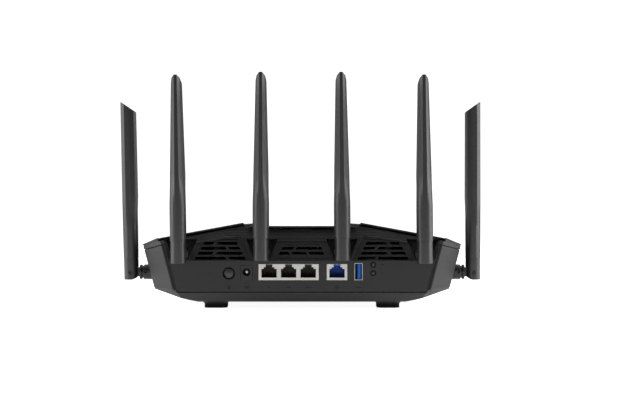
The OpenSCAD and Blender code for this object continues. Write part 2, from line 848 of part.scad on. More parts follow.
chips = [[-34, -16, 26, 26], [8, -14, 22, 22], [38, 2, 18, 18], [-8, 18, 16, 12]];
module thermal_pads() {
    color([0.5, 0.55, 0.65]) union() {
        for (c = chips) translate([c[0] - c[2] / 2 + 2, c[1] - c[3] / 2 + 2, board_z + 3])
            cube([c[2] - 4, c[3] - 4, sink_z - board_z - 3]);
        for (c = chips) translate([c[0] - c[2] / 2 + 2, c[1] - c[3] / 2 + 2, 14])
            cube([c[2] - 4, c[3] - 4, board_z - 1.6 - 14]);
    }
}

module shield_cans() {
    color([0.75, 0.75, 0.74]) for (c = chips)
        translate([c[0] - c[2] / 2, c[1] - c[3] / 2, board_z]) cube([c[2], c[3], 3]);
}

// ---------------------------------------------------------------- connectors
// Mouth of a network port, seen from behind: a wide body with a stepped latch notch above,
// whose top is at top_h.
mouth_low = 1.9;
mouth_steps = [[6, 8.8], [4.2, 8.8], [4.2, 10.1], [2.7, 10.1]];
module port_mouth(grow, top_h) {
    right = concat([[6, mouth_low - grow]], mouth_steps, [[2.7, top_h]]);
    polygon(mirrored([for (p = right) [p.x + grow, p.y]]));
}

module port_cavity(x, grow, y0, y1, top_h) {
    translate([x, y1, port_low_z]) rotate([90, 0, 0]) linear_extrude(height = y1 - y0)
        port_mouth(grow, top_h);
}

jack_front = rear_y - 0.3;
jack_back = rear_y + 20;
function lan_ports() = [for (i = [-1:1]) lan_x + i * lan_pitch];

// Bent sheet-metal can round a jack, with one window for each port.
module jack_shield(xs, half_span) {
    mid = (xs[0] + xs[len(xs) - 1]) / 2;
    difference() {
        translate([mid - half_span, jack_front, port_low_z])
            cube([2 * half_span, jack_back - jack_front, jack_h]);
        translate([mid - half_span + 0.35, jack_front + 0.4, port_low_z + 0.35])
            cube([2 * half_span - 0.7, jack_back - jack_front - 0.8, jack_h - 0.7]);
        for (x = xs) port_cavity(x, 0, jack_front - 1, jack_front + 2, jack_h + 1);
    }
}

// Moulded body inside the can, with the plug cavities.
module jack_housing(xs, half_span) {
    mid = (xs[0] + xs[len(xs) - 1]) / 2;
    difference() {
        translate([mid - half_span + 0.45, jack_front + 0.5, port_low_z + 0.45])
            cube([2 * half_span - 0.9, jack_back - jack_front - 1, jack_h - 0.9]);
        for (x = xs) port_cavity(x, 0.05, jack_front - 1, jack_front + 15, 11.2);
    }
}

module lan_shield() { color([0.8, 0.79, 0.75]) jack_shield(lan_ports(), 1.5 * lan_pitch + 0.5); }
module lan_housing() { color([0.04, 0.04, 0.04]) jack_housing(lan_ports(), 1.5 * lan_pitch + 0.5); }
module wan_shield() { color([0.8, 0.79, 0.75]) jack_shield([wan_x], 8); }
module wan_housing() { color([0.02, 0.1, 0.5]) jack_housing([wan_x], 8); }

// Eight spring contacts at the inner end of each cavity, rising from its floor.
module jack_contacts() {
    color([0.85, 0.65, 0.25]) for (x = concat(lan_ports(), [wan_x]), i = [0:7])
        translate([x + (i - 3.5) * 1.02 - 0.2, jack_front + 9.2, port_low_z + mouth_low + 0.1])
            rotate([28, 0, 0]) cube([0.4, 6, 0.4]);
}

usb_half_w = 3.15;
usb_h = 13.2;
usb_wall = 0.35;
usb_tongue_x = [-0.7, 1.7];                  // sides of the tongue from the port's middle
module usb_shell() {
    inner_w = 2 * (usb_half_w - usb_wall);
    color([0.8, 0.8, 0.78]) difference() {
        translate([usb_x - usb_half_w, jack_front, port_low_z]) cube([2 * usb_half_w, 18, usb_h]);
        translate([usb_x - inner_w / 2, jack_front - 1, port_low_z + usb_wall])
            cube([inner_w, 17.5, usb_h - 2 * usb_wall]);
    }
}

module usb_tongue_bar(y0, y1) {
    translate([usb_x + usb_tongue_x[0], y0, port_low_z + 1])
        cube([usb_tongue_x[1] - usb_tongue_x[0], y1 - y0, usb_h - 2]);
}

module usb_tongue() {
    color([0.05, 0.3, 0.8]) usb_tongue_bar(jack_front + 0.6, jack_front + 15);
}

// Moulded block that closes the shell's inner end and holds the tongue.
module usb_body() {
    body_w = 2 * (usb_half_w - usb_wall - 0.1);
    color([0.04, 0.04, 0.04]) difference() {
        translate([usb_x - body_w / 2, jack_front + 12.5, port_low_z + 0.45])
            cube([body_w, 3.9, usb_h - 0.9]);
        usb_tongue_bar(jack_front, jack_front + 15);
    }
}

inlet_z = 29.2;
module inlet_body() {
    color([0.06, 0.06, 0.05]) difference() {
        translate([inlet_x - inlet_w / 2, jack_front, board_z]) cube([inlet_w, 14, inlet_h]);
        translate([inlet_x, 0, inlet_z]) along_y(3.1, jack_front - 1, jack_front + 10);
        translate([inlet_x, 0, inlet_z]) along_y(1.02, jack_front, jack_front + 12);
    }
}

module inlet_pin() {
    color([0.8, 0.8, 0.8]) translate([inlet_x, 0, inlet_z]) union() {
        along_y(0.6, jack_front + 2.6, jack_front + 4);
        along_y(1, jack_front + 3.9, jack_front + 11.9);
    }
}

module power_switch() {
    color([0.1, 0.1, 0.1]) difference() {
        translate([power_x - 4, rear_y + 9, board_z]) cube([8, 9, 8.5]);
        translate([power_x, 0, power_z]) along_y(1.7, rear_y + 8, rear_y + 14);
    }
}

module switch_board() {
    color([0.06, 0.22, 0.13]) union() {
        translate([small_x - 5, rear_y + 11, board_z]) cube([10, 1.2, 16.4]);
        for (z = small_z) translate([small_x - 3, rear_y + 8.4, z - 2.6]) cube([6, 2.7, 5.2]);
    }
}

// A domed cap with a collar inside the panel and a stem to its switch.
collar_y = 4.2;
module button_cap(x, z, cap_r, dome_r, stem_r, stem_end) {
    translate([x, rear_y, z]) union() {
        intersection() {
            along_y(cap_r, -0.4, collar_y + 0.1);
            translate([0, dome_r - 0.4, 0]) sphere(r = dome_r, $fn = 96);
        }
        along_y(cap_r + 1.6, collar_y, collar_y + 1);
        along_y(stem_r, collar_y + 0.9, stem_end);
    }
}

module power_button() { color([0.1, 0.1, 0.1]) button_cap(power_x, power_z, 3.7, 10, 1.6, 11.6); }
module wps_button() { color([0.1, 0.1, 0.1]) button_cap(small_x, small_z[0], 1.4, 3.6, 1, 7.4); }
module reset_button() { color([0.1, 0.1, 0.1]) button_cap(small_x, small_z[1], 1.4, 3.6, 1, 7.4); }

// Seven light wells joined by a foot that reaches back over the board's edge.
light_pitch = 7.5;
guide_z = board_z + 2.4;
module light_guide() {
    color([0.9, 0.9, 0.88]) intersection() {
        union() {
            for (i = [-3:3]) translate([i * light_pitch - 2.4, nose_window_y - 0.7, guide_z])
                cube([4.8, 1.4, 50]);
            translate([-27, board_front_y - 2.4, guide_z])
                cube([54, nose_window_y - board_front_y + 3.1, 2.4]);
            for (x = [-26, 24.4]) translate([x, board_front_y - 2.4, board_z]) cube([1.6, 1.6, 2.5]);
        }
        behind(trough_plane, 0.1);
    }
}

module status_leds() {
    color([0.95, 0.95, 0.9]) for (i = [-3:3])
        translate([i * light_pitch - 0.8, board_front_y - 2, board_z]) cube([1.6, 0.8, 0.8]);
}

module antenna_sockets() { color([0.05, 0.05, 0.05]) for (k = [1:6]) socket(k); }
module socket_pins() { color("dimgray") for (k = [1:6]) socket_pin_pair(k); }

// ---------------------------------------------------------------- coax cables
// Each cable runs from the inner end of its socket to a plug on the board.
coax_r = 0.6;
plug_h = 1.9;
function socket_back(k) =
    let (p = pins[k - 1], f = facing[k - 1]) p + socket_end * [-sin(f), cos(f), 0];
coax_board = [[-88, -8], [-76, -24], [-26, -37], [26, -37], [76, -24], [88, -8]];
function coax_route(k) =
    let (a = socket_back(k), f = facing[k - 1], out = [-sin(f), cos(f), 0], b = coax_board[k - 1])
    [a + 0.1 * out, a + 2.5 * out, a + 4.6 * out + [0, 0, -2], [b.x, b.y, board_z + 6],
     [b.x, b.y, board_z + 4], [b.x, b.y, board_z + plug_h + 0.1]];
function smooth_line(p, n) =
    [for (i = [0:len(p) - 2], j = [0:n - 1])
        let (t = j / n, a = p[max(i - 1, 0)], b = p[i], c = p[i + 1], d = p[min(i + 2, len(p) - 1)])
        b + t / 2 * (c - a + t * (2 * a - 5 * b + 4 * c - d + t * (3 * b - a - 3 * c + d))),
     p[len(p) - 1]];
function ring_at(c, along, r, n) =
    let (d = along / norm(along), h = abs(d.z) > 0.9 ? [1, 0, 0] : [0, 0, 1],
         u = cross(h, d) / norm(cross(h, d)), v = cross(d, u))
    [for (i = [0:n - 1]) c + r * cos(360 * i / n) * u + r * sin(360 * i / n) * v];

module coax(k) {
    line = smooth_line(coax_route(k), 3);
    last = len(line) - 1;
    rings_solid([for (i = [last:-1:0])
        ring_at(line[i], line[min(i + 1, last)] - line[max(i - 1, 0)], coax_r, 8)]);
}

module coax_cables() { color([0.12, 0.12, 0.12]) for (k = [1:6]) coax(k); }
module coax_plugs() {
    color([0.85, 0.7, 0.3]) for (b = coax_board)
        translate([b.x, b.y, board_z]) cylinder(r = 1.4, h = plug_h);
}

bottom_case();
top_cover();
io_panel();
wing_plate(-1);  // left_wing_plate
wing_plate(1);  // right_wing_plate
centre_plate();
badge();
rubber_feet();
case_screws();
main_board();
board_screws();
heatsink();
heat_spreader();
thermal_pads();
shield_cans();
lan_shield();
lan_housing();
wan_shield();
wan_housing();
jack_contacts();
usb_shell();
usb_tongue();
usb_body();
inlet_body();
inlet_pin();
power_switch();
switch_board();
light_guide();
status_leds();
antenna_sockets();
socket_pins();
coax_cables();
coax_plugs();
power_button();
wps_button();
reset_button();
for (k = [1:6]) {
    color([0.04, 0.04, 0.04]) swivel(k);
    color([0.1, 0.1, 0.1]) antenna_base(k);
    color([0.1, 0.1, 0.1]) antenna_cover(k);
    color([0.7, 0.45, 0.3]) radiator(k);
}
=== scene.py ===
# %% [markdown]
# # A wireless router, finished in Blender
# The imported model already holds every part at its real size and place: casing, connectors, board
# and six folding antennas. What is left is the craft of the surface. A CAD solid has knife-sharp
# edges and one flat colour. A moulded part has small radii that catch the light, a fine grain
# pressed in by the tool, rubbed edges, and a little dust on whatever faces up. This notebook adds
# those, one finish at a time, with a painted highlight along the edges as well, and lights the
# router as a product on a white sweep.

import json
import math

import bmesh
import bpy
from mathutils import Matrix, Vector


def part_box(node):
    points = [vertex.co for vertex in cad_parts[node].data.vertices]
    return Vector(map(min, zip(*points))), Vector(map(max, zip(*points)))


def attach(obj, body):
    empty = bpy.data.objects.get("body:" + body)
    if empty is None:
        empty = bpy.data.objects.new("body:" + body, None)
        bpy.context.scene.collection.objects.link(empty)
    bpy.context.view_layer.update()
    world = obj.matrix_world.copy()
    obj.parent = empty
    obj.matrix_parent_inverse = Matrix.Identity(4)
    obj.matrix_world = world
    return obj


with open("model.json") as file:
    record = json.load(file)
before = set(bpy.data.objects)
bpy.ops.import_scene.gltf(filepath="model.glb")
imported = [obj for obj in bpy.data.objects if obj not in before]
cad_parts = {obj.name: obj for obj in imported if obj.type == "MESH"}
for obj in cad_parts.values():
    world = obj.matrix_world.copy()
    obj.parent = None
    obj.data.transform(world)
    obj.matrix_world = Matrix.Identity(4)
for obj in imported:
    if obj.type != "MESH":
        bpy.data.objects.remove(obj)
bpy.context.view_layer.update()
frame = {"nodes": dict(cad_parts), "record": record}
nodes = frame["nodes"]
scene = bpy.context.scene
MM = 0.001
ANTENNAS = range(1, 7)

# %% [markdown]
# ## The camera
# The router is seen from behind, so the lens looks along +Y at the connector panel. It stands
# almost level with the case, a little above its top, and about a metre away: near enough for the
# side antennas, which stand further forward, to look smaller than the rear ones.

# %% Camera
panel_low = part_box("io_panel")[0]
CAMERA_DISTANCE = 0.950
CAMERA_HEIGHT = 0.0856
CAMERA_ASIDE = 0.0064
LENS = 70.6
camera_data = bpy.data.cameras.new("camera")
camera_data.lens = LENS
camera_data.sensor_width = 36.0
camera_data.clip_start = 0.01
camera = bpy.data.objects.new("camera", camera_data)
scene.collection.objects.link(camera)
camera.location = (CAMERA_ASIDE, panel_low.y - CAMERA_DISTANCE, CAMERA_HEIGHT)
camera.rotation_euler = (math.radians(90), 0, 0)
scene.camera = camera
scene.view_settings.view_transform = "Standard"
print("camera at", [round(c, 3) for c in camera.location])

# %% [markdown]
# ## The studio
# Dark plastic has little colour of its own: it is drawn by what it reflects, so the studio is
# planned from the reflections backwards. The world comes first. A white surround that also lit the
# router would wash its shapes out, so the Light Path node splits it: white where the camera meets
# it, and nearly dark as a light.

# %% World
world = bpy.data.worlds.new("studio")
scene.world = world
world.use_nodes = True
sky = world.node_tree
sky.nodes.clear()
sky_out = sky.nodes.new("ShaderNodeOutputWorld")


def backdrop(strength):
    """An even white surround of the given strength."""
    node = sky.nodes.new("ShaderNodeBackground")
    node.inputs["Color"].default_value = (1, 1, 1, 1)
    node.inputs["Strength"].default_value = strength
    return node


# The camera meets a white backdrop, while the router is lit by a dim one.
seen = backdrop(1.0)
lighting = backdrop(0.04)
which = sky.nodes.new("ShaderNodeLightPath")
choose = sky.nodes.new("ShaderNodeMixShader")
sky.links.new(which.outputs["Is Camera Ray"], choose.inputs["Fac"])
sky.links.new(lighting.outputs["Background"], choose.inputs[1])
sky.links.new(seen.outputs["Background"], choose.inputs[2])
sky.links.new(choose.outputs["Shader"], sky_out.inputs["Surface"])
print("world with", len(sky.nodes), "nodes")

# %% [markdown]
# ### The floor
# A studio sweep is a sheet of paper that lies flat under the product and curves up behind it, so
# that no horizon shows. This one is round, so it does the same from every side. It is built as rings
# of points around a middle one: a flat disc, and then a quarter circle that rises at the rim.

# %% Floor
def make_floor(radius, rise, steps=12, around=96):
    """A round pale floor whose rim curves up, as a sweep does."""
    mesh = bmesh.new()
    middle = mesh.verts.new((0, 0, 0))
    rings = []
    for i in range(steps + 1):
        turn = math.radians(90) * i / steps
        r = radius + rise * math.sin(turn)
        z = rise * (1 - math.cos(turn))
        rings.append([mesh.verts.new((r * math.cos(math.tau * j / around),
                                      r * math.sin(math.tau * j / around), z)) for j in range(around)])
    for j in range(around):
        mesh.faces.new((middle, rings[0][j], rings[0][(j + 1) % around]))
        for a, b in zip(rings, rings[1:]):
            mesh.faces.new((a[j], b[j], b[(j + 1) % around], a[(j + 1) % around]))
    data = bpy.data.meshes.new("studio_floor")
    mesh.to_mesh(data)
    mesh.free()
    data.shade_smooth()
    floor = bpy.data.objects.new("studio_floor", data)
    scene.collection.objects.link(floor)
    return floor


floor = make_floor(radius=2.6, rise=0.9)
print("floor with", len(floor.data.polygons), "faces")

# %% [markdown]
# ### The paper
# Paper is matt and white. To look clean white to the camera it has to be so bright that its
# glow would flood the router's underside. The same Light Path trick as for the world keeps the two
# apart: the camera meets a white sheet, a little darker near the case as a faint painted shadow,
# and the router is lit by a dimmer glow, which is weakest right under the case, a painted shadow
# there, and fades again far away.

# %% Paper
paper = bpy.data.materials.new("white_paper")
paper.use_nodes = True
paper_tree = paper.node_tree
paper_shader = paper_tree.nodes["Principled BSDF"]
paper_shader.inputs["Base Color"].default_value = (0.9, 0.9, 0.9, 1)
paper_shader.inputs["Roughness"].default_value = 0.9
paper_shader.inputs["Emission Color"].default_value = (1, 1, 1, 1)
paper_place = paper_tree.nodes.new("ShaderNodeTexCoord")


def paper_level(squeeze, near, far, low, high):
    """A strength that goes from low at the near distance to high at the far one, in metres."""
    shape = paper_tree.nodes.new("ShaderNodeVectorMath")
    shape.operation = "MULTIPLY"
    shape.inputs[1].default_value = squeeze
    paper_tree.links.new(paper_place.outputs["Object"], shape.inputs[0])
    reach = paper_tree.nodes.new("ShaderNodeVectorMath")
    reach.operation = "LENGTH"
    paper_tree.links.new(shape.outputs["Vector"], reach.inputs[0])
    level = paper_tree.nodes.new("ShaderNodeMapRange")
    for label, value in (("From Min", near), ("From Max", far), ("To Min", low), ("To Max", high)):
        level.inputs[label].default_value = value
    paper_tree.links.new(reach.outputs["Value"], level.inputs["Value"])
    return level


# Distances from the middle are taken all round, or in an oval that follows the case's plan.
ROUND = (1, 1, 1)
UNDER_CASE = (0.55, 1, 1)
# Near the case the paper the camera meets is a little darker, and its glow on the router much weaker:
# both are a painted shadow of the case.
camera_paper_with_painted_shadow = paper_level(ROUND, near=0.25, far=0.7, low=0.93, high=1.0)
glow_with_painted_shadow = paper_level(UNDER_CASE, near=0.045, far=0.075, low=0.15, high=0.68)
paper_far = paper_level(ROUND, near=0.4, far=1.8, low=1.0, high=0.25)
paper_lighting = paper_tree.nodes.new("ShaderNodeMath")
paper_lighting.operation = "MULTIPLY"
paper_tree.links.new(glow_with_painted_shadow.outputs["Result"], paper_lighting.inputs[0])
paper_tree.links.new(paper_far.outputs["Result"], paper_lighting.inputs[1])
paper_seen = paper_tree.nodes.new("ShaderNodeLightPath")
paper_glow = paper_tree.nodes.new("ShaderNodeMix")
paper_tree.links.new(paper_seen.outputs["Is Camera Ray"], paper_glow.inputs["Factor"])
paper_tree.links.new(paper_lighting.outputs["Value"], paper_glow.inputs["A"])
paper_tree.links.new(camera_paper_with_painted_shadow.outputs["Result"], paper_glow.inputs["B"])
paper_tree.links.new(paper_glow.outputs["Result"], paper_shader.inputs["Emission Strength"])
floor.data.materials.append(paper)
print("paper with", len(paper_tree.nodes), "nodes")

# %% [markdown]
# ### The lamps
# Two tall soft boxes stand left and right of the router, so the slanting facets of each antenna
# pick up a pale stripe on both sides of a dark middle. The camera's own side stays dim, which keeps
# the connector panel deep grey. A broad overhead box lights the floor and the top edges, and a last
# one in front of the nose keeps the far side from going black.

# %% Soft boxes
def soft_box(name, place, size, watts, aim):
    """A rectangular lamp of size (width, height) in metres that faces the aim point."""
    data = bpy.data.lights.new(name, "AREA")
    data.shape = "RECTANGLE"
    data.size, data.size_y = size
    data.energy = watts
    light = bpy.data.objects.new(name, data)
    light.location = place
    light.rotation_euler = (Vector(aim) - Vector(place)).to_track_quat("-Z", "Y").to_euler()
    scene.collection.objects.link(light)


ROW_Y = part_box("antenna_3_cover")[0].y
SIDE_BOX_Y = ROW_Y - 0.07
SIDE_BOX = (0.75, 0.9)
ANTENNA_ROW = (0, ROW_Y, 0.08)
CASE_MIDDLE = (0, 0, 0.05)
LAMPS = [
    ("left_box", (-0.95, SIDE_BOX_Y, 0.42), SIDE_BOX, 5.7, ANTENNA_ROW),
    ("right_box", (0.95, SIDE_BOX_Y, 0.42), SIDE_BOX, 8.2, ANTENNA_ROW),
    ("overhead_box", (0, 0.1, 1.4), (1.6, 1.0), 12, CASE_MIDDLE),
    ("nose_box", (0, 0.9, 1.2), (1.4, 0.6), 5, CASE_MIDDLE),
]
for lamp in LAMPS:
    soft_box(*lamp)
print(len(LAMPS), "soft boxes")

# %% [markdown]
# ## Effects shared by many finishes
# Grain, rubbed edges and dust appear on nearly every part, each time with other sizes. Each is a
# shader node group, built once, with named inputs. A material places the groups it needs and keeps
# its own Principled shader, so the numbers that make a finish stay together in one function.

# %% Node group helpers
def new_group(name, inputs, outputs):
    """A shader group of float sockets: inputs as label and default, outputs as labels."""
    group = bpy.data.node_groups.new(name, "ShaderNodeTree")
    for label, value in inputs.items():
        socket = group.interface.new_socket(label, in_out="INPUT", socket_type="NodeSocketFloat")
        socket.default_value = value
    for label in outputs:
        group.interface.new_socket(label, in_out="OUTPUT", socket_type="NodeSocketFloat")
    return group, group.nodes.new("NodeGroupInput"), group.nodes.new("NodeGroupOutput")


def maths(tree, operation, a, b, clamp=False):
    """A Math node: each input is a socket or a number. Returns its output socket."""
    node = tree.nodes.new("ShaderNodeMath")
    node.operation = operation
    node.use_clamp = clamp
    for slot, value in zip(node.inputs, (a, b)):
        if isinstance(value, (int, float)):
            slot.default_value = value
        else:
            tree.links.new(value, slot)
    return node.outputs[0]


def noise(tree, scale, detail=2.0, rough=0.5, stretch=(1, 1, 1)):
    """Noise in object space. Scale is a socket or a number, in waves per metre. Returns 0 to 1."""
    place = tree.nodes.new("ShaderNodeTexCoord")
    mapping = tree.nodes.new("ShaderNodeMapping")
    mapping.inputs["Scale"].default_value = stretch
    tree.links.new(place.outputs["Object"], mapping.inputs["Vector"])
    node = tree.nodes.new("ShaderNodeTexNoise")
    node.inputs["Detail"].default_value = detail
    node.inputs["Roughness"].default_value = rough
    tree.links.new(mapping.outputs["Vector"], node.inputs["Vector"])
    if isinstance(scale, (int, float)):
        node.inputs["Scale"].default_value = scale
    else:
        tree.links.new(scale, node.inputs["Scale"])
    return node.outputs["Fac"]


def ramp(tree, value, low, high):
    """0 below low, 1 above high, smooth between."""
    node = tree.nodes.new("ShaderNodeMapRange")
    node.interpolation_type = "SMOOTHSTEP"
    node.inputs["From Min"].default_value = low
    node.inputs["From Max"].default_value = high
    tree.links.new(value, node.inputs["Value"])
    return node.outputs["Result"]


def mix_colour(tree, factor, a, b):
    """A where the factor is 0, b where it is 1. Each is a socket or a colour."""
    node = tree.nodes.new("ShaderNodeMix")
    node.data_type = "RGBA"
    for slot, value in ((node.inputs["Factor"], factor), (node.inputs["A"], a), (node.inputs["B"], b)):
        if isinstance(value, tuple):
            slot.default_value = value
        else:
            tree.links.new(value, slot)
    return node.outputs["Result"]


print("helpers:", ", ".join(f.__name__ for f in (new_group, maths, noise, ramp, mix_colour)))

# %% [markdown]
# ### Spark-eroded grain
# Moulds for electronics are etched, so that the plastic comes out with a fine matt texture that
# hides fingerprints. It could be modelled as real bumps, but at a third of a millimetre that would
# take millions of faces. A height value made from two sizes of noise does the same for the light.
# The same noise moves the roughness a little, because the tops of the grain are rubbed smoother.

# %% Grain group
grain_group, g_in, g_out = new_group(
    "etched_grain",
    {"Grains per Metre": 2600.0, "Roughness": 0.5, "Roughness Spread": 0.1},
    ["Height", "Roughness"])
fine = noise(grain_group, g_in.outputs["Grains per Metre"], detail=2.0)
coarse = noise(grain_group, 45.0, detail=4.0, rough=0.6)
FINE_SHARE = 0.85
COARSE_SHARE = 0.15
SPARKLE = 0.12
height = maths(grain_group, "ADD", maths(grain_group, "MULTIPLY", fine, FINE_SHARE),
               maths(grain_group, "MULTIPLY", coarse, COARSE_SHARE))
grain_group.links.new(height, g_out.inputs["Height"])
wander = maths(grain_group, "MULTIPLY", maths(grain_group, "SUBTRACT", coarse, 0.5),
               g_in.outputs["Roughness Spread"])
sparkle = maths(grain_group, "MULTIPLY", maths(grain_group, "SUBTRACT", fine, 0.5), SPARKLE)
level = maths(grain_group, "ADD", maths(grain_group, "ADD", wander, sparkle), g_in.outputs["Roughness"],
              clamp=True)
grain_group.links.new(level, g_out.inputs["Roughness"])
print("group", grain_group.name)

# %% [markdown]
# ### Rubbed edges and a painted highlight
# Hands and cloths touch the edges first, and a moulded edge is also where the plastic is polished
# by its own parting from the tool. The lighter edge is also a painted highlight, the thin line of
# light that an edge catches. Comparing the true normal with a normal rounded over a short radius
# finds every edge, whatever the mesh. Noise breaks the line up, so that it isn't an outline.

# %% Edge group
EDGE_REACH = 0.5 * MM
wear_and_highlight_group, e_in, e_out = new_group("rubbed_and_highlit_edges", {"Amount": 0.5}, ["Mask"])
rounded = wear_and_highlight_group.nodes.new("ShaderNodeBevel")
rounded.samples = 4
rounded.inputs["Radius"].default_value = EDGE_REACH
true_normal = wear_and_highlight_group.nodes.new("ShaderNodeNewGeometry")
dot = wear_and_highlight_group.nodes.new("ShaderNodeVectorMath")
dot.operation = "DOT_PRODUCT"
wear_and_highlight_group.links.new(rounded.outputs["Normal"], dot.inputs[0])
wear_and_highlight_group.links.new(true_normal.outputs["Normal"], dot.inputs[1])
bent = maths(wear_and_highlight_group, "SUBTRACT", 1.0, dot.outputs["Value"])
found = ramp(wear_and_highlight_group, bent, 0.02, 0.22)
patchy = ramp(wear_and_highlight_group, noise(wear_and_highlight_group, 140.0, detail=3.0), 0.3, 0.62)
mask = maths(wear_and_highlight_group, "MULTIPLY", maths(wear_and_highlight_group, "MULTIPLY", found, patchy), e_in.outputs["Amount"])
wear_and_highlight_group.links.new(mask, e_out.inputs["Mask"])
print("group", wear_and_highlight_group.name)

# %% [markdown]
# ### Settled dust
# Dust lies only on what faces up, and thins out where air or fingers move it. The mask is the
# upward share of the normal, broken by cloudy noise. It stays faint: this router is nearly new.

# %% Dust group
dust_group, d_in, d_out = new_group("settled_dust", {"Amount": 0.2}, ["Mask"])
facing = dust_group.nodes.new("ShaderNodeNewGeometry")
parts = dust_group.nodes.new("ShaderNodeSeparateXYZ")
dust_group.links.new(facing.outputs["Normal"], parts.inputs["Vector"])
upward = ramp(dust_group, parts.outputs["Z"], 0.25, 0.95)
clouds = ramp(dust_group, noise(dust_group, 30.0, detail=5.0, rough=0.65), 0.35, 0.75)
specks = ramp(dust_group, noise(dust_group, 1500.0, detail=1.0), 0.62, 0.72)
cover = maths(dust_group, "ADD", maths(dust_group, "MULTIPLY", clouds, 0.5), specks, clamp=True)
lying = maths(dust_group, "MULTIPLY", upward, cover)
settled = maths(dust_group, "MULTIPLY", lying, d_in.outputs["Amount"])
dust_group.links.new(settled, d_out.inputs["Mask"])
print("group", dust_group.name)

# %% [markdown]
# ### Drawn metal lines
# Sheet metal and extrusions carry fine lines along the way they were rolled or drawn. Noise that is
# stretched forty times along one axis gives them, as height and as roughness.

# %% Drawn lines group
drawn_group, w_in, w_out = new_group(
    "drawn_lines", {"Roughness": 0.3, "Spread": 0.15}, ["Height", "Roughness"])
lines = noise(drawn_group, 60.0, detail=4.0, stretch=(1.0, 40.0, 40.0))
drawn_group.links.new(lines, w_out.inputs["Height"])
centred = maths(drawn_group, "SUBTRACT", lines, 0.5)
spread = maths(drawn_group, "MULTIPLY", centred, w_in.outputs["Spread"])
drawn = maths(drawn_group, "ADD", spread, w_in.outputs["Roughness"], clamp=True)
drawn_group.links.new(drawn, w_out.inputs["Roughness"])
print("group", drawn_group.name)

# %% [markdown]
# ## Finishes
# A finish function makes one material. It sets what is the same all over straight on the shader's
# sockets, and links only what changes over the surface: colour, roughness and the bump's height.

# %% Plastic, rubber and metal makers
def start_material(name):
    """A new material with its node tree and its Principled shader."""
    material = bpy.data.materials.new(name)
    material.use_nodes = True
    return material, material.node_tree, material.node_tree.nodes["Principled BSDF"]


def place_group(tree, group, **values):
    """A shared effect with its own values. An underscore stands for a space in a label."""
    node = tree.nodes.new("ShaderNodeGroup")
    node.node_tree = group
    for label, value in values.items():
        node.inputs[label.replace("_", " ")].default_value = value
    return node


def bump(tree, shader, height_socket, strength, depth):
    """Tilts the shader's normal by a height, whose full range is depth metres."""
    node = tree.nodes.new("ShaderNodeBump")
    node.inputs["Strength"].default_value = strength
    node.inputs["Distance"].default_value = depth
    tree.links.new(height_socket, node.inputs["Height"])
    tree.links.new(node.outputs["Normal"], shader.inputs["Normal"])


def rgba(colour):
    return (*colour, 1.0)


DUST_COLOUR = (0.42, 0.41, 0.39, 1.0)
GRAIN_DEPTH = 0.00003
GRAIN_SPREAD = 0.14
GRAIN_BUMP = 0.5
LINE_DEPTH = 0.00001
LINE_SPREAD = 0.25
LINE_BUMP = 0.25


def moulded(name, colour, roughness, wear_and_highlight_lift=2.2, edge_amount=0.6, dust=0.1, grains=2600.0,
            grain_depth=GRAIN_DEPTH, specular=0.42):
    """A moulded plastic or rubber: grain, rubbed edges with a painted highlight, mottled colour and
    settled dust.
    """
    material, tree, shader = start_material(name)
    grain = place_group(tree, grain_group, Grains_per_Metre=grains, Roughness=roughness,
                        Roughness_Spread=GRAIN_SPREAD)
    edges = place_group(tree, wear_and_highlight_group, Amount=edge_amount)
    dusty = place_group(tree, dust_group, Amount=dust)
    mottle = ramp(tree, noise(tree, 22.0, detail=5.0, rough=0.6), 0.3, 0.7)
    dark = rgba([c * 0.9 for c in colour])
    light = rgba([min(1, c * 1.1) for c in colour])
    # Edges are painted lighter by this factor: partly rubbed wear, partly a painted highlight.
    worn_and_highlit = rgba([min(1, c * wear_and_highlight_lift) for c in colour])
    base = mix_colour(tree, mottle, dark, light)
    base = mix_colour(tree, edges.outputs["Mask"], base, worn_and_highlit)
    base = mix_colour(tree, dusty.outputs["Mask"], base, DUST_COLOUR)
    tree.links.new(base, shader.inputs["Base Color"])
    tree.links.new(grain.outputs["Roughness"], shader.inputs["Roughness"])
    shader.inputs["Specular IOR Level"].default_value = specular
    bump(tree, shader, grain.outputs["Height"], GRAIN_BUMP, grain_depth)
    return material


def metal(name, colour, roughness):
    """A drawn or rolled metal with fine lines and brighter edges."""
    material, tree, shader = start_material(name)
    shader.inputs["Metallic"].default_value = 1.0
    drawn_lines = place_group(tree, drawn_group, Roughness=roughness, Spread=LINE_SPREAD)
    edges = place_group(tree, wear_and_highlight_group, Amount=0.4)
    tarnish = ramp(tree, noise(tree, 60.0, detail=4.0), 0.35, 0.75)
    base = mix_colour(tree, tarnish, rgba(colour), rgba([c * 0.82 for c in colour]))
    # The edges are painted brighter, as rubbed wear and as a painted highlight.
    base = mix_colour(tree, edges.outputs["Mask"], base, rgba([min(1, c * 1.3) for c in colour]))
    tree.links.new(base, shader.inputs["Base Color"])
    tree.links.new(drawn_lines.outputs["Roughness"], shader.inputs["Roughness"])
    bump(tree, shader, drawn_lines.outputs["Height"], LINE_BUMP, LINE_DEPTH)
    return material


print("makers:", moulded.__name__, "and", metal.__name__)
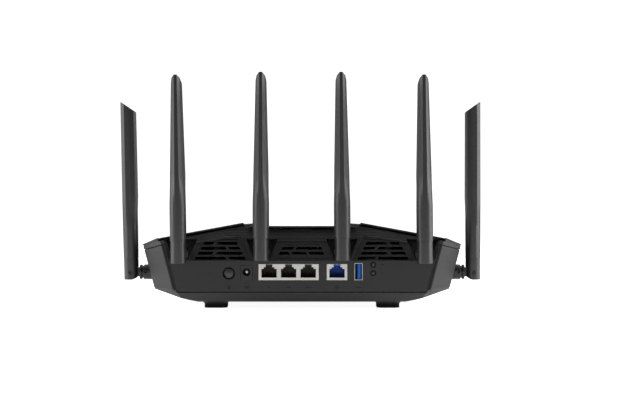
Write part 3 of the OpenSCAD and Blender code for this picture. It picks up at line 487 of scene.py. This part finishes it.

# %% [markdown]
# ### The finishes of this router
# The tub is a lighter charcoal than the cover and the connector panel, as painted light: the
# lighter tone stands in for the floor's light on the tub's rear band. The antennas are nearly
# black, with a satin sheen that lets their facets show as stripes.

# %% Make the finishes
SATIN = {"wear_and_highlight_lift": 2.0, "dust": 0.08, "specular": 0.65}
# Each edge factor paints edges lighter, as rubbed wear and as a painted highlight; the cover's and the
# plates' are strongest.
finishes = {
    # The tub's lighter charcoal is painted light, for the floor's light on its rear band.
    "case": moulded("charcoal_tub_painted_lighter", (0.014, 0.014, 0.0137), 0.45, specular=0.32),
    "cover": moulded("black_cover", (0.01, 0.01, 0.01), 0.46, wear_and_highlight_lift=5.0, edge_amount=0.9),
    "panel": moulded("black_panel", (0.0095, 0.0095, 0.0095), 0.5, wear_and_highlight_lift=2.6, dust=0.05),
    "plate": moulded("satin_plates", (0.012, 0.012, 0.013), 0.34, wear_and_highlight_lift=5.0, edge_amount=0.8,
                     dust=0.06, grains=1900.0),
    "badge": metal("ring_lacquer", (0.17, 0.17, 0.18), 0.3),
    "rubber": moulded("foot_rubber", (0.004, 0.004, 0.004), 0.8, wear_and_highlight_lift=2.0, dust=0.05, grains=1500.0,
                      specular=0.2),
    "screw": metal("zinc_screws", (0.42, 0.42, 0.43), 0.32),
    "board": moulded("solder_mask", (0.01, 0.06, 0.03), 0.3, wear_and_highlight_lift=2.5),
    "aluminium": metal("drawn_aluminium", (0.6, 0.61, 0.62), 0.35),
    "heatsink": metal("black_anodising", (0.02, 0.02, 0.021), 0.45),
    "hinge_pin": metal("black_oxide", (0.02, 0.02, 0.02), 0.5),
    "pad": moulded("thermal_pad", (0.2, 0.26, 0.36), 0.8, grains=1200.0),
    "can": metal("tinned_cans", (0.6, 0.6, 0.57), 0.34),
    "connector_metal": metal("nickel_shells", (0.56, 0.55, 0.51), 0.38),
    "connector_black": moulded("connector_nylon", (0.01, 0.01, 0.01), 0.5, dust=0.05),
    "connector_blue": moulded("blue_nylon", (0.0005, 0.085, 0.45), 0.4, wear_and_highlight_lift=1.6, edge_amount=0.6,
                              dust=0.0, specular=0.25),
    "gold": metal("gold_flash", (0.8, 0.56, 0.2), 0.25),
    "light_guide": moulded("milky_acrylic", (0.55, 0.57, 0.58), 0.25, wear_and_highlight_lift=1.2, dust=0.05),
    "hinge": moulded("hinge_nylon", (0.012, 0.012, 0.012), 0.4, wear_and_highlight_lift=2.6),
    "antenna_base": moulded("antenna_foot", (0.009, 0.009, 0.009), 0.34, **SATIN),
    "antenna": moulded("antenna_shell", (0.009, 0.009, 0.009), 0.34, **SATIN),
    "radiator": metal("copper_strip", (0.75, 0.42, 0.25), 0.3),
    "coax": moulded("cable_jacket", (0.02, 0.02, 0.02), 0.5),
    "button": moulded("button_cap", (0.026, 0.026, 0.026), 0.4, dust=0.04),
}
slot_of = {row["node"]: row["material_slot"] for row in frame["record"]["subparts"]}
for node, part in nodes.items():
    part.data.materials.clear()
    part.data.materials.append(finishes[slot_of[node]])
print(len(finishes), "finishes on", len(nodes), "parts")

# %% [markdown]
# ## Moulded radii
# No moulded edge is sharp. A bevel of a few tenths of a millimetre gives every edge a thin line of
# light, and that line is what the eye reads as plastic. The solids' meshes are triangles, so they
# are first welded, then flat areas are dissolved into single faces, and only then bevelled. Parts
# with many small round holes keep their triangles, since one face around them all bevels badly. All
# of it is done with modifiers, so the parts' own meshes stay as they were imported.

# %% Soften the edges
WELD_REACH = 2e-6
FLAT_WITHIN = math.radians(0.5)
BEVEL_STEPS = 2


def soften(node, width, corner=24, dissolve=True):
    """Rounds a part's edges over width, in metres, where faces meet at more than corner degrees."""
    part = nodes[node]
    part.data.shade_smooth()
    weld = part.modifiers.new("weld", "WELD")
    weld.merge_threshold = WELD_REACH
    if dissolve:
        flat = part.modifiers.new("flat_faces", "DECIMATE")
        flat.decimate_type = "DISSOLVE"
        flat.angle_limit = FLAT_WITHIN
    bevel = part.modifiers.new("moulded_radius", "BEVEL")
    bevel.width = width
    bevel.segments = BEVEL_STEPS
    bevel.limit_method = "ANGLE"
    bevel.angle_limit = math.radians(corner)
    bevel.use_clamp_overlap = False
    bevel.harden_normals = False
    level = part.modifiers.new("even_shading", "WEIGHTED_NORMAL")
    level.keep_sharp = False


# In millimetres.
radii = {"bottom_case": 0.2, "top_cover": 0.15, "io_panel": 0.08, "left_wing_plate": 0.3,
         "right_wing_plate": 0.3, "centre_plate": 0.3, "badge": 0.25, "rubber_feet": 0.3,
         "power_button": 0.3, "wps_button": 0.2, "reset_button": 0.2, "antenna_sockets": 0.25}
KEEP_TRIANGLES = ("io_panel", "power_button", "wps_button", "reset_button", "antenna_sockets")
for node, radius in radii.items():
    soften(node, radius * MM, dissolve=node not in KEEP_TRIANGLES)
for k in ANTENNAS:
    soften(f"antenna_{k}_cover", 0.25 * MM, corner=16)
    soften(f"antenna_{k}_base", 0.2 * MM)
    soften(f"antenna_{k}_swivel", 0.2 * MM)
print("radii on", len(radii) + 3 * len(ANTENNAS), "parts")

# %% [markdown]
# ## Printed marks
# A connector panel carries a small printed mark at every opening, so that a hand behind the desk
# finds the right one. Pad-printed ink is a film a few hundredths of a millimetre thick, so each mark
# is a flat shape with that thickness, standing on the panel's face. Four plain outlines are enough
# for all of them. They are lists of corners in x and z, since the panel faces along y.

# %% Outlines
INK = 0.03 * MM
DOT = 0.42 * MM
MARK_DROP = 5.6 * MM
STROKE = 0.4 * MM
DOT_PITCH = 1.5 * MM
PORT_RING = 1.2 * MM
POWER_RING = 1.1 * MM
ACCESSORY_BAR = 3 * MM
INLET_BAR = 3.4 * MM
INLET_DASH = 0.9 * MM
DASH_PITCH = 1.25 * MM
HALF_GAP = 0.5 * MM
BESIDE_BUTTON = 7 * MM
PORT_WALLS = 1 * MM
DISC_CORNERS = 20
RING_PARTS = 24


def disc(x, z, radius):
    """A small many-sided disc, as the corners of its outline."""
    turns = [math.tau * i / DISC_CORNERS for i in range(DISC_CORNERS)]
    return [(x + radius * math.cos(t), z + radius * math.sin(t)) for t in turns]


def bar(x, z, width, height=STROKE):
    w, h = width / 2, height / 2
    return [(x - w, z - h), (x + w, z - h), (x + w, z + h), (x - w, z + h)]


def dots(x, z, count):
    return [disc(x + (i - (count - 1) / 2) * DOT_PITCH, z, DOT) for i in range(count)]


def ring(x, z, radius):
    """A ring as a run of four-cornered pieces."""
    turns = [math.tau * i / RING_PARTS for i in range(RING_PARTS + 1)]
    rim = [[(x + r * math.cos(t), z + r * math.sin(t)) for t in turns] for r in (radius - STROKE, radius)]
    return [[rim[0][i], rim[1][i], rim[1][i + 1], rim[0][i + 1]] for i in range(RING_PARTS)]


print("a disc has", DISC_CORNERS, "corners and a ring", RING_PARTS, "pieces")

# %% [markdown]
# ### Where the marks go
# One to three dots stand under the ganged ports, a ring under the single one and a bar under the
# accessory port. At the inlet there is a long bar over three short ones, the usual sign for direct
# current, at the power button a ring with a stroke, and beside the two small buttons there are dots.
# Each mark is placed from the box of the part it belongs to, so it stays with that part.

# %% Lay out the marks
def middle(node):
    """The middle of a part's box, as x and z."""
    low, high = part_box(node)
    return (low.x + high.x) / 2, (low.z + high.z) / 2


lan_low, lan_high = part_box("lan_shield")
lan_pitch = (lan_high.x - lan_low.x - PORT_WALLS) / 3
mark_z = lan_low.z - MARK_DROP
lan_x, wan_x, usb_x, inlet_x, power_x = [
    middle(node)[0] for node in ("lan_shield", "wan_shield", "usb_shell", "inlet_body", "power_button")]
shapes = []
for i in range(3):
    shapes += dots(lan_x + (i - 1) * lan_pitch, mark_z, i + 1)
shapes += ring(wan_x, mark_z, PORT_RING)
shapes += [bar(usb_x, mark_z, ACCESSORY_BAR)]
shapes += [bar(inlet_x, mark_z + HALF_GAP, INLET_BAR)]
shapes += [bar(inlet_x + k * DASH_PITCH, mark_z - HALF_GAP, INLET_DASH) for k in (-1, 0, 1)]
shapes += ring(power_x, mark_z, POWER_RING)
shapes += [bar(power_x, mark_z + 0.8 * MM, STROKE, 1.4 * MM)]
for node, count in (("wps_button", 2), ("reset_button", 1)):
    x, z = middle(node)
    shapes += dots(x + BESIDE_BUTTON, z, count)
print(len(shapes), "outlines")

# %% [markdown]
# ### From outlines to ink
# Every outline becomes a thin prism that starts just inside the panel and stands proud of it by the
# film's thickness. All the prisms make one mesh, which rides on the case like the panel under it.

# %% Marks on the panel
ink = bmesh.new()
for shape in shapes:
    outer = [ink.verts.new((x, panel_low.y - INK, z)) for x, z in shape]
    inner = [ink.verts.new((x, panel_low.y + INK, z)) for x, z in shape]
    ink.faces.new(outer)
    ink.faces.new(inner[::-1])
    for i in range(len(shape)):
        j = (i + 1) % len(shape)
        ink.faces.new((outer[j], outer[i], inner[i], inner[j]))
bmesh.ops.recalc_face_normals(ink, faces=ink.faces)
mark_mesh = bpy.data.meshes.new("port_marks")
ink.to_mesh(mark_mesh)
ink.free()
marks = bpy.data.objects.new("port_marks", mark_mesh)
scene.collection.objects.link(marks)
marks.data.materials.append(moulded("mark_ink", (0.002, 0.002, 0.002), 0.6, edge_amount=0.2, dust=0.0,
                                    grains=4000.0, grain_depth=0.000005, specular=0.05))
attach(marks, "case_body")
print("marks with", len(mark_mesh.polygons), "faces on the panel")
